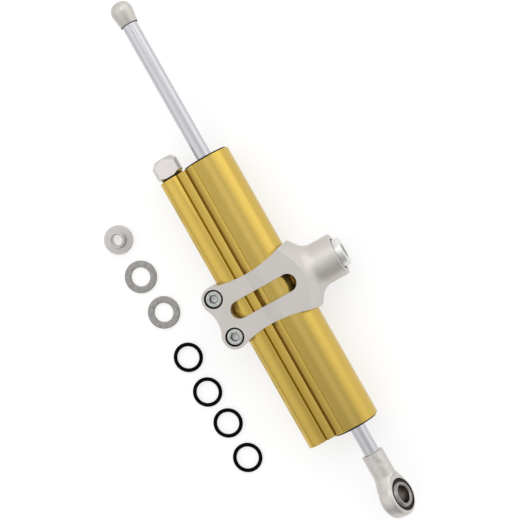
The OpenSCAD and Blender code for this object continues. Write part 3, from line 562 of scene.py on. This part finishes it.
def noiseOut(tree, given, out, vector, detail, rough, low):
    # noise with its middle range, from low to 1 - low, spread over 0 to 1
    noise = addNode(tree, "ShaderNodeTexNoise")
    noise.inputs["Detail"].default_value = detail
    noise.inputs["Roughness"].default_value = rough
    spread = addNode(tree, "ShaderNodeMapRange", interpolation_type="SMOOTHSTEP")
    spread.inputs["From Min"].default_value = low
    spread.inputs["From Max"].default_value = 1 - low
    tree.links.new(vector, noise.inputs["Vector"])
    tree.links.new(given.outputs["Fineness"], noise.inputs["Scale"])
    tree.links.new(noise.outputs["Fac"], spread.inputs["Value"])
    tree.links.new(spread.outputs["Result"], out.inputs["Value"])


def drawnLines():
    # noise drawn out along the local axis
    tree, given, out = newGroup("drawnLines", "Fineness")
    squash = addNode(tree, "ShaderNodeVectorMath", operation="MULTIPLY")
    squash.inputs[1].default_value = (1, 1, grain["drawnOut"])
    tree.links.new(given.outputs["Vector"], squash.inputs[0])
    noiseOut(tree, given, out, squash.outputs["Vector"], detail=2, rough=grain["lineRough"], low=0.25)
    return tree


def latheRings():
    # noise of the distance from the local axis and the place along it, so that the marks run round
    tree, given, out = newGroup("latheRings", "Fineness")
    parts = addNode(tree, "ShaderNodeSeparateXYZ")
    flat = addNode(tree, "ShaderNodeCombineXYZ")
    reach = addNode(tree, "ShaderNodeVectorMath", operation="LENGTH")
    place = addNode(tree, "ShaderNodeCombineXYZ")
    drift = addNode(tree, "ShaderNodeVectorMath", operation="MULTIPLY_ADD")
    drift.inputs[1].default_value = [grain["waver"]] * 3
    tree.links.new(given.outputs["Vector"], parts.inputs[0])
    tree.links.new(parts.outputs["X"], flat.inputs["X"])
    tree.links.new(parts.outputs["Y"], flat.inputs["Y"])
    tree.links.new(flat.outputs[0], reach.inputs[0])
    tree.links.new(reach.outputs["Value"], place.inputs["X"])
    tree.links.new(parts.outputs["Z"], place.inputs["Z"])
    tree.links.new(given.outputs["Vector"], drift.inputs[0])
    tree.links.new(place.outputs[0], drift.inputs[2])
    noiseOut(tree, given, out, drift.outputs["Vector"], detail=2, rough=grain["ringRough"], low=0.28)
    return tree


def evenNoise(name, rough):
    # noise alike in every direction: fine grain, or broad clouds at a low fineness
    tree, given, out = newGroup(name, "Fineness")
    noiseOut(tree, given, out, given.outputs["Vector"], detail=3, rough=rough, low=0.3)
    return tree


def flatBand():
    # the mask of the painted light and shade bands: 1 on a line of constant y, falling to 0 a width away, and 0
    # nearer to the middle plane than the height
    tree, given, out = newGroup("flatBand", "Place", "Width", "Height")
    parts = addNode(tree, "ShaderNodeSeparateXYZ")
    apart = addNode(tree, "ShaderNodeMath", operation="SUBTRACT")
    size = addNode(tree, "ShaderNodeMath", operation="ABSOLUTE")
    near = addNode(tree, "ShaderNodeMapRange", interpolation_type="SMOOTHSTEP")
    near.inputs["To Min"].default_value = 1
    near.inputs["To Max"].default_value = 0
    level = addNode(tree, "ShaderNodeMath", operation="ABSOLUTE")
    high = addNode(tree, "ShaderNodeMath", operation="GREATER_THAN")
    both = addNode(tree, "ShaderNodeMath", operation="MULTIPLY")
    tree.links.new(given.outputs["Vector"], parts.inputs[0])
    tree.links.new(parts.outputs["Y"], apart.inputs[0])
    tree.links.new(given.outputs["Place"], apart.inputs[1])
    tree.links.new(apart.outputs[0], size.inputs[0])
    tree.links.new(size.outputs[0], near.inputs["Value"])
    tree.links.new(given.outputs["Width"], near.inputs["From Max"])
    tree.links.new(parts.outputs["Z"], level.inputs[0])
    tree.links.new(level.outputs[0], high.inputs[0])
    tree.links.new(given.outputs["Height"], high.inputs[1])
    tree.links.new(near.outputs["Result"], both.inputs[0])
    tree.links.new(high.outputs[0], both.inputs[1])
    tree.links.new(both.outputs[0], out.inputs["Value"])
    return tree


patterns = {"drawnLines": drawnLines(), "latheRings": latheRings(),
            "blastGrain": evenNoise("blastGrain", grain["blastRough"]),
            "softMottle": evenNoise("softMottle", grain["mottleRough"]), "flatBand": flatBand()}
print("patterns made")


def placePattern(tree, name, vector, perMillimetre):
    node = addNode(tree, "ShaderNodeGroup", node_tree=patterns[name])
    node.inputs["Fineness"].default_value = perMillimetre / mm
    tree.links.new(vector, node.inputs["Vector"])
    return node.outputs["Value"]


def paintBand(tree, paint, place, y, width, height, gain, brown, brownShares=(0, 0.15, 0.8)):
    # painted light and shade: the colour times gain inside a band, lighter and paler for a painted highlight, or
    # darker and browner for painted shade as green and blue change more
    mask = addNode(tree, "ShaderNodeGroup", node_tree=patterns["flatBand"])
    for socketName, value in zip(("Place", "Width", "Height"), (y, width, height)):
        mask.inputs[socketName].default_value = value * mm
    mix = addNode(tree, "ShaderNodeMix", data_type="VECTOR")
    tones = [socket for socket in mix.inputs if socket.type == "VECTOR" and socket.name in "AB"]
    tones[0].default_value = (1, 1, 1)
    tones[1].default_value = [gain ** (1 + share * brown) for share in brownShares]
    scale = addNode(tree, "ShaderNodeVectorMath", operation="MULTIPLY")
    tree.links.new(place, mask.inputs["Vector"])
    tree.links.new(mask.outputs["Value"], mix.inputs["Factor"])
    tree.links.new(paint, scale.inputs[0])
    tree.links.new(next(socket for socket in mix.outputs if socket.type == "VECTOR"), scale.inputs[1])
    return scale.outputs["Vector"]


def surfaceFinish(name, colour, roughness, pattern, fineness, centre=(0, 0, 0), axis=(0, 0, 1), metallic=1.0,
                  tint=0.04, mottle=0.12, roughSpread=0.06, bump=0.2, height=0.006, waves=None, bands=(),
                  specular=0.5):
    # colour and roughness wander with the pattern and a mottle, and the pattern stands out as relief; bands paint
    # light and shade into the colour
    material = bpy.data.materials.new(name)
    tree, output = clearTree(material, "ShaderNodeOutputMaterial")
    shader = addNode(tree, "ShaderNodeBsdfPrincipled")
    shader.inputs["Metallic"].default_value = metallic
    shader.inputs["Specular IOR Level"].default_value = specular
    tree.links.new(shader.outputs["BSDF"], output.inputs["Surface"])
    coords = addNode(tree, "ShaderNodeTexCoord")
    local = addNode(tree, "ShaderNodeMapping", vector_type="TEXTURE")
    local.inputs["Location"].default_value = np.asarray(centre, float) * mm
    local.inputs["Rotation"].default_value = Vector(axis).to_track_quat("Z", "Y").to_euler()
    tree.links.new(coords.outputs["Object"], local.inputs["Vector"])
    marks = placePattern(tree, pattern, local.outputs["Vector"], fineness)
    clouds = placePattern(tree, "softMottle", local.outputs["Vector"], mottle)
    blend = addNode(tree, "ShaderNodeMix", data_type="FLOAT")
    blend.inputs["Factor"].default_value = 0.5  # as much of one as of the other
    tree.links.new(marks, blend.inputs["A"])
    tree.links.new(clouds, blend.inputs["B"])
    shade = addNode(tree, "ShaderNodeMix", data_type="RGBA")
    limits = [socket for socket in shade.inputs if socket.type == "RGBA"]
    for socket, share in zip(limits, (1 - tint, 1 + tint)):
        socket.default_value = (*np.clip(np.array(colour) * share, 0, 1), 1)
    tree.links.new(blend.outputs["Result"], shade.inputs["Factor"])
    paint = next(socket for socket in shade.outputs if socket.type == "RGBA")
    # painted light and shade: each band multiplies the colour
    for band in bands:
        paint = paintBand(tree, paint, coords.outputs["Object"], *band)
    tree.links.new(paint, shader.inputs["Base Color"])
    gloss = addNode(tree, "ShaderNodeMapRange")
    gloss.inputs["To Min"].default_value = roughness - roughSpread
    gloss.inputs["To Max"].default_value = roughness + roughSpread
    tree.links.new(blend.outputs["Result"], gloss.inputs["Value"])
    tree.links.new(gloss.outputs["Result"], shader.inputs["Roughness"])
    relief = addNode(tree, "ShaderNodeBump")
    relief.inputs["Strength"].default_value = bump
    relief.inputs["Distance"].default_value = height * mm
    tree.links.new(marks, relief.inputs["Height"])
    if waves:  # broad unevenness under the fine marks
        wavePattern, waveFineness, waveHeight = waves
        broad = addNode(tree, "ShaderNodeBump")
        broad.inputs["Distance"].default_value = waveHeight * mm
        tree.links.new(placePattern(tree, wavePattern, local.outputs["Vector"], waveFineness), broad.inputs["Height"])
        tree.links.new(broad.outputs["Normal"], relief.inputs["Normal"])
    tree.links.new(relief.outputs["Normal"], shader.inputs["Normal"])
    return material


# lines that patterns run round or along, and the relief that two grades of turning leave
rodLine = {"centre": (0, rodY, 0), "axis": xAxis}
lobeLine = {"centre": (0, lobeY, 0), "axis": xAxis}
pivotLine = {"axis": yAxis}
eyeLine = {"centre": eyeCentre, "axis": eyeAxis}
fineCut = {"bump": 0.25, "height": 0.012}
plainCut = {"bump": 0.3, "height": 0.012}

# painted light and shade along the gold barrel: painted shade over the flats, painted highlights as streaks on them,
# a thin painted shade line, and painted shade by the relief cut and on the reservoir; y from the rod's axis, width,
# least height, gain and brown
onFlat = flatZ - 0.02
goldPaintedLight = {"flat": (0, 60.0, onFlat, 0.77, -0.5),
             "middlePaintedHighlight": (1.9, 3.2, onFlat, 1.26, 0.6),
             "sidePaintedHighlight": (5.2, 3.0, onFlat, 1.20, 0.6),
             "thinPaintedShade": (4.3, 0.35, onFlat, 0.8, 1),
             "reliefPaintedShade": (-11.5, 4.0, lobeR + 0.08, 0.36, 1.3),
             "reservoirPaintedShade": (-16, 4.5, lobeR - 0.05, 0.81, 0.4)}

gold = surfaceFinish("goldAnodised", (0.62, 0.435, 0.098), 0.22, "drawnLines", 2.2, **rodLine,
                     tint=0.03, mottle=0.05, roughSpread=0.03, bump=0.12, height=0.004,
                     waves=("drawnLines", 0.12, 0.02), bands=[(rodY + y, *tone) for y, *tone in goldPaintedLight.values()])
# a darker, browner gold as painted shade inside the barrel's groove, relief cut and scribes
goldCutShade = surfaceFinish("paintedShadeInGoldCuts", (0.33, 0.18, 0.006), 0.38, "drawnLines", 2.2, **rodLine, tint=0.1)
blackAnodised = {"colour": (0.012, 0.011, 0.011), "roughness": 0.5, "pattern": "latheRings", "fineness": 3.0,
                 "metallic": 0, "tint": 0.25, "specular": 0.1}
blackHead = surfaceFinish("blackAnodisedHead", **blackAnodised, **rodLine)
blackHousing = surfaceFinish("blackAnodisedHousing", **blackAnodised, **lobeLine)
satin = surfaceFinish("satinAluminium", (0.62, 0.59, 0.56), 0.44, "blastGrain", 2.6,
                      tint=0.045, mottle=0.06, bump=0.35, height=0.02)
# a dark grey as painted shade in the clamp's screw pockets and on its window walls
pocketShade = surfaceFinish("paintedPocketShade", (0.12, 0.11, 0.10), 0.5, "blastGrain", 1.5, tint=0.2)
hatFinish = surfaceFinish("hatAluminium", (0.58, 0.555, 0.54), 0.42, "latheRings", 3.5,
                          centre=hatSpot, tint=0.06, **plainCut)
capFinish = surfaceFinish("capAluminium", (0.58, 0.555, 0.52), 0.40, "latheRings", 3.0,
                          **rodLine, tint=0.05, **fineCut)
knobFinish = surfaceFinish("knobAluminium", (0.61, 0.585, 0.565), 0.33, "latheRings", 3.0,
                           **lobeLine, tint=0.04, **fineCut)
# a lighter copy of the knob's aluminium as a painted highlight on its milled top flat
knobFlatHighlight = surfaceFinish("milledKnobFlatPaintedHighlight", (0.76, 0.72, 0.70), 0.36, "drawnLines", 2.0,
                         **lobeLine, tint=0.04, bump=0.2, height=0.01)
turnedAluminium = {"colour": (0.62, 0.61, 0.60), "roughness": 0.34, "pattern": "latheRings", "fineness": 3.5,
                   **plainCut}
turnedRod = surfaceFinish("turnedAluminiumRod", **turnedAluminium, **rodLine)
turnedLobe = surfaceFinish("turnedAluminiumReservoir", **turnedAluminium, **lobeLine)
forged = surfaceFinish("forgedAluminium", (0.61, 0.58, 0.555), 0.40, "blastGrain", 1.6,
                       tint=0.06, mottle=0.18, bump=0.3, height=0.02, waves=("softMottle", 0.22, 0.12))
chrome = surfaceFinish("hardChrome", (0.57, 0.562, 0.588), 0.2, "latheRings", 6.0,
                       **rodLine, tint=0.02, roughSpread=0.03, bump=0.06, height=0.003)
zincScrew = surfaceFinish("zincPlatedSteel", (0.50, 0.515, 0.50), 0.34, "blastGrain", 1.8,
                          tint=0.12, mottle=0.35, **fineCut)
# a near-black steel as painted shade on the key sockets' walls
keySocketShade = surfaceFinish("paintedKeySocketShade", (0.09, 0.092, 0.09), 0.38, "blastGrain", 1.8, tint=0.2, mottle=0.35)
sleeveSteel = surfaceFinish("brightSteel", (0.78, 0.77, 0.76), 0.36, "latheRings", 3.0,
                            **pivotLine, tint=0.05, **fineCut)
# a darker steel as painted shade in the sleeve's threaded hole
threadPaintedShade = surfaceFinish("threadPaintedShade", (0.34, 0.33, 0.32), 0.42, "latheRings", 3.0, **pivotLine, tint=0.2)
ballSteel = surfaceFinish("bearingSteel", (0.32, 0.30, 0.285), 0.30, "latheRings", 2.5,
                          **eyeLine, tint=0.15, mottle=0.5, roughSpread=0.1)
# a near-black steel as painted shade inside the ball's bore
ballBoreShade = surfaceFinish("reamedBorePaintedShade", (0.14, 0.118, 0.105), 0.26, "latheRings", 2.5,
                          **eyeLine, tint=0.25, roughSpread=0.1)
innerSteel = surfaceFinish("turnedSteel", (0.50, 0.50, 0.505), 0.30, "latheRings", 3.5, **lobeLine, bump=0.25)
darkSteel = surfaceFinish("blackenedSteel", (0.055, 0.055, 0.06), 0.45, "blastGrain", 2.0,
                          tint=0.25, bump=0.3, height=0.01)
springSteel = surfaceFinish("springSteel", (0.42, 0.42, 0.43), 0.32, "blastGrain", 3.0, tint=0.12, bump=0.2)
zincWasher = surfaceFinish("dullZinc", (0.365, 0.352, 0.34), 0.50, "blastGrain", 0.9,
                           tint=0.28, mottle=0.5, roughSpread=0.12, bump=0.5, height=0.03)
bronze = surfaceFinish("sinteredBronze", (0.50, 0.33, 0.17), 0.38, "latheRings", 3.0,
                       **rodLine, tint=0.12, **plainCut)
bronzeLobe = surfaceFinish("turnedBronze", (0.50, 0.33, 0.17), 0.34, "latheRings", 3.0,
                           **lobeLine, tint=0.12, **plainCut)
polymer = surfaceFinish("blackPolymer", (0.006, 0.006, 0.006), 0.5, "blastGrain", 1.8,
                        metallic=0, tint=0.3, bump=0.3, height=0.015, specular=0.2)
rubber = surfaceFinish("blackRubber", (0.003, 0.003, 0.003), 0.75, "blastGrain", 2.2,
                       metallic=0, tint=0.3, bump=0.35, height=0.02, specular=0.03)
bumpRubber = surfaceFinish("greyRubber", (0.11, 0.105, 0.10), 0.6, "blastGrain", 2.2,
                           metallic=0, tint=0.2, bump=0.3, height=0.015)

slotFinish = {"gold_anodised": gold, "black_anodised": blackHead, "satin_aluminium": satin,
              "turned_aluminium": turnedLobe, "hard_chrome": chrome, "steel": innerSteel, "dark_steel": darkSteel,
              "spring_steel": springSteel, "zinc_steel": zincWasher, "bronze": bronzeLobe,
              "black_polymer": polymer, "black_rubber": rubber}
nodeFinish = {"adjuster_housing": blackHousing, "top_hat_spacer": hatFinish, "rod_cap": capFinish,
              "adjuster_knob": knobFinish, "rod_end_body": forged, "piston": turnedRod, "clamp_screws": zincScrew,
              "pivot_sleeve": sleeveSteel, "swivel_ball": ballSteel, "rod_bushes": bronze, "bump_washer": bumpRubber}
for node, piece in finished.items():
    piece.data.materials.clear()
    piece.data.materials.append(nodeFinish.get(node, slotFinish[nodeSlot[node]]))

# where the painted shade in the barrel's cuts begins and ends, in millimetres from the surfaces that they lie between
cuts = {"grooveSlack": 0.02, "grooveMouth": 0.3, "grooveLeast": 5, "reliefSlack": 0.1, "reliefMouth": 0.1,
        "scribeLeast": 12, "scribeSkin": 0.05, "boreSkin": 0.1}


def inBarrelCuts(points):
    # painted shade in the groove, the relief cut and the scribe along each flat
    y, z = np.abs(points[:, 1] - rodY), np.abs(points[:, 2])
    reach = np.hypot(y, z)
    fromGroove = np.abs(points[:, 1] - lobeY - barrel["grooveOffset"])
    groove = fromGroove < barrel["grooveWidth"] / 2 + cuts["grooveSlack"]
    groove &= (z < lobeR - cuts["grooveMouth"]) & (z > cuts["grooveLeast"])
    half = barrel["relief"] / 2
    fromRelief = np.abs(y - math.sqrt(tubeR ** 2 - lobeR ** 2) - half)
    relief = (points[:, 1] < rodY) & (fromRelief < half + cuts["reliefSlack"]) & (z < lobeR - cuts["reliefMouth"])
    scribe = np.abs(y - math.sqrt(tubeR ** 2 - flatZ ** 2)) < barrel["scribe"]
    scribe &= (z > cuts["scribeLeast"]) & (z < flatZ - cuts["scribeSkin"]) & (reach < tubeR - cuts["scribeSkin"])
    return (groove | relief | scribe) & (reach > boreR + cuts["boreSkin"])


def fromScrews(points):
    # distance from the nearer screw's axis
    return np.hypot(np.abs(points[:, 0]) - screwX, points[:, 1] - screwY)


def inClampPockets(points):
    # painted shade round either screw's axis below the ears' top, and on the window's walls on the pivot's side
    x, y, z = np.abs(points[:, 0]), points[:, 1] - rodY, points[:, 2]
    pocket = (fromScrews(points) < clamp["pocketR"]) & (z < screwHigh[2] + clamp["pocketRise"])
    window = (x < clamp["windowHalf"]) & (y > clamp["windowNear"]) & (y < clamp["windowFar"])
    return pocket | window & (np.abs(z) < clamp["windowHeight"])


def inKeySockets(points):
    # painted shade on the walls of each key socket
    z, skin = points[:, 2] - screwHigh[2], screw["keySkin"]
    return (fromScrews(points) < screw["keyReach"]) & (z < -skin) & (z > skin - screw["keyDepth"])


def inSleeveThread(points):
    # painted shade inside the threaded hole
    inHole = np.hypot(points[:, 0], points[:, 2]) < sleeve["root"] + sleeve["holeSlack"]
    return inHole & (points[:, 1] > sleeveHigh[1] - sleeve["depth"] - sleeve["holePast"])


def inBallBore(points):
    # painted shade inside the ball's bore
    fromAxis = np.linalg.norm(np.cross(points - eyeCentre, eyeAxis), axis=1)
    return fromAxis < rodEnd["boreR"] + rodEnd["boreSlack"]


def onKnobFlat(points):
    # painted highlight on the knob's top flat
    return points[:, 2] > nodeBox("adjuster_knob")[1][2] - ends["knobFlatSkin"]


# second finishes: a painted highlight on the knob's flat, and painted shade in the barrel's cuts, the clamp's
# pockets, the key sockets, the sleeve's thread and the ball's bore
seconds = [(adjusterKnob, knobFlatHighlight, onKnobFlat), (barrelShell, goldCutShade, inBarrelCuts),
           (clampBody, pocketShade, inClampPockets), (clampScrews, keySocketShade, inKeySockets),
           (pivotSleeve, threadPaintedShade, inSleeveThread), (swivelBall, ballBoreShade, inBallBore)]
for piece, material, inside in seconds:
    piece.data.materials.append(material)
    secondFinish(piece, inside)
print("finishes given")

# studio: pale floor and a tent of soft light, graded round the rod's axis and along it, with one soft lamp
studio = {"floorSize": 6.0, "floorGap": 0.02, "floorColour": 0.45, "floorLift": 0.62,
          "along": [(-1, 1.03), (-0.4, 1.14), (0, 1.0), (0.5, 0.65), (1, 0.52)],
          "tent": [(-180, 0.95), (-102, 0.63), (-66, 1.18), (-38, 1.35), (-10, 1.2), (24, 0.94),
                   (48, 1.35), (76, 1.73), (100, 1.37), (125, 1.07), (180, 1.0)],
          "lampPlace": (-0.9, 0.5, 1.3), "lampSize": 1.2, "lampPower": 3.0}


def seenShare(tree):
    # 1 for what the camera, a mirror or glass sees
    path = addNode(tree, "ShaderNodeLightPath")
    total = path.outputs["Is Camera Ray"]
    for rayKind in ("Is Glossy Ray", "Is Transmission Ray"):
        larger = addNode(tree, "ShaderNodeMath", operation="MAXIMUM")
        tree.links.new(total, larger.inputs[0])
        tree.links.new(path.outputs[rayKind], larger.inputs[1])
        total = larger.outputs[0]
    return total


def floorFinish():
    # matt, with a lift towards white where it is seen
    material = bpy.data.materials.new("paleFloor")
    tree, output = clearTree(material, "ShaderNodeOutputMaterial")
    matt = addNode(tree, "ShaderNodeBsdfDiffuse")
    matt.inputs["Color"].default_value = (*[studio["floorColour"]] * 3, 1)
    glow = addNode(tree, "ShaderNodeEmission")
    lift = addNode(tree, "ShaderNodeMath", operation="MULTIPLY")
    lift.inputs[1].default_value = studio["floorLift"]
    both = addNode(tree, "ShaderNodeAddShader")
    tree.links.new(seenShare(tree), lift.inputs[0])
    tree.links.new(lift.outputs[0], glow.inputs["Strength"])
    tree.links.new(matt.outputs[0], both.inputs[0])
    tree.links.new(glow.outputs[0], both.inputs[1])
    tree.links.new(both.outputs[0], output.inputs["Surface"])
    return material


def highest(levels):
    return max(level for place, level in levels)


def levelRamp(tree, levels):
    # rows of (place, level) as a smooth ramp, each level as a share of the highest
    ramp = addNode(tree, "ShaderNodeValToRGB")
    ramp.color_ramp.interpolation = "CARDINAL"
    stops = ramp.color_ramp.elements
    first, last = levels[0][0], levels[-1][0]
    while len(stops) < len(levels):
        stops.new(1.0)
    for stop, (place, level) in zip(stops, levels):
        stop.position = (place - first) / (last - first)
        stop.color = (*[level / highest(levels)] * 3, 1)
    return ramp


def softTent():
    # radiance = level by the ray's angle round X from straight up, times a level by its X
    world = bpy.data.worlds.new("softTent")
    tree, output = clearTree(world, "ShaderNodeOutputWorld")
    sky = addNode(tree, "ShaderNodeBackground")
    ray = addNode(tree, "ShaderNodeTexCoord")
    parts = addNode(tree, "ShaderNodeSeparateXYZ")
    angle = addNode(tree, "ShaderNodeMath", operation="ARCTAN2")
    share = addNode(tree, "ShaderNodeMapRange")
    share.inputs["From Min"].default_value = -math.pi
    share.inputs["From Max"].default_value = math.pi
    place = addNode(tree, "ShaderNodeMapRange")
    place.inputs["From Min"].default_value = -1
    turnwise, along = levelRamp(tree, studio["tent"]), levelRamp(tree, studio["along"])
    light = addNode(tree, "ShaderNodeMath", operation="MULTIPLY")
    full = addNode(tree, "ShaderNodeMath", operation="MULTIPLY")
    full.inputs[1].default_value = highest(studio["tent"]) * highest(studio["along"])
    tree.links.new(ray.outputs["Generated"], parts.inputs[0])
    tree.links.new(parts.outputs["Y"], angle.inputs[0])
    tree.links.new(parts.outputs["Z"], angle.inputs[1])
    tree.links.new(angle.outputs[0], share.inputs["Value"])
    tree.links.new(parts.outputs["X"], place.inputs["Value"])
    tree.links.new(share.outputs["Result"], turnwise.inputs["Fac"])
    tree.links.new(place.outputs["Result"], along.inputs["Fac"])
    tree.links.new(turnwise.outputs["Color"], light.inputs[0])
    tree.links.new(along.outputs["Color"], light.inputs[1])
    tree.links.new(light.outputs[0], full.inputs[0])
    tree.links.new(full.outputs[0], sky.inputs["Strength"])
    tree.links.new(sky.outputs[0], output.inputs["Surface"])
    bpy.context.scene.world = world


halfFloor, floorZ = studio["floorSize"] / 2, (floorLevel - studio["floorGap"]) * mm
corners = [(x * halfFloor, y * halfFloor, floorZ) for x, y in ((-1, -1), (1, -1), (1, 1), (-1, 1))]
floorMesh = bpy.data.meshes.new("studioFloor")
floorMesh.from_pydata(corners, [], [(0, 1, 2, 3)])
floor = bpy.data.objects.new("studioFloor", floorMesh)
floorMesh.materials.append(floorFinish())
bpy.context.scene.collection.objects.link(floor)
floor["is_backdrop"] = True
softTent()
lampData = bpy.data.lights.new("softLamp", "AREA")
lampData.shape = "DISK"
lampData.size = studio["lampSize"]
lampData.energy = studio["lampPower"]
lamp = bpy.data.objects.new("softLamp", lampData)
lamp.location = studio["lampPlace"]
lamp.rotation_euler = Vector(studio["lampPlace"]).to_track_quat("Z", "Y").to_euler()  # shines at the origin
bpy.context.scene.collection.objects.link(lamp)
bpy.context.scene.view_settings.view_transform = "Standard"
print("studio lit")

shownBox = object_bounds()
growth = [[round((b - a) / mm, 3) for a, b in zip(cad, shown)] for cad, shown in zip(cadBox, shownBox)]
print("box grows by", growth, "mm")
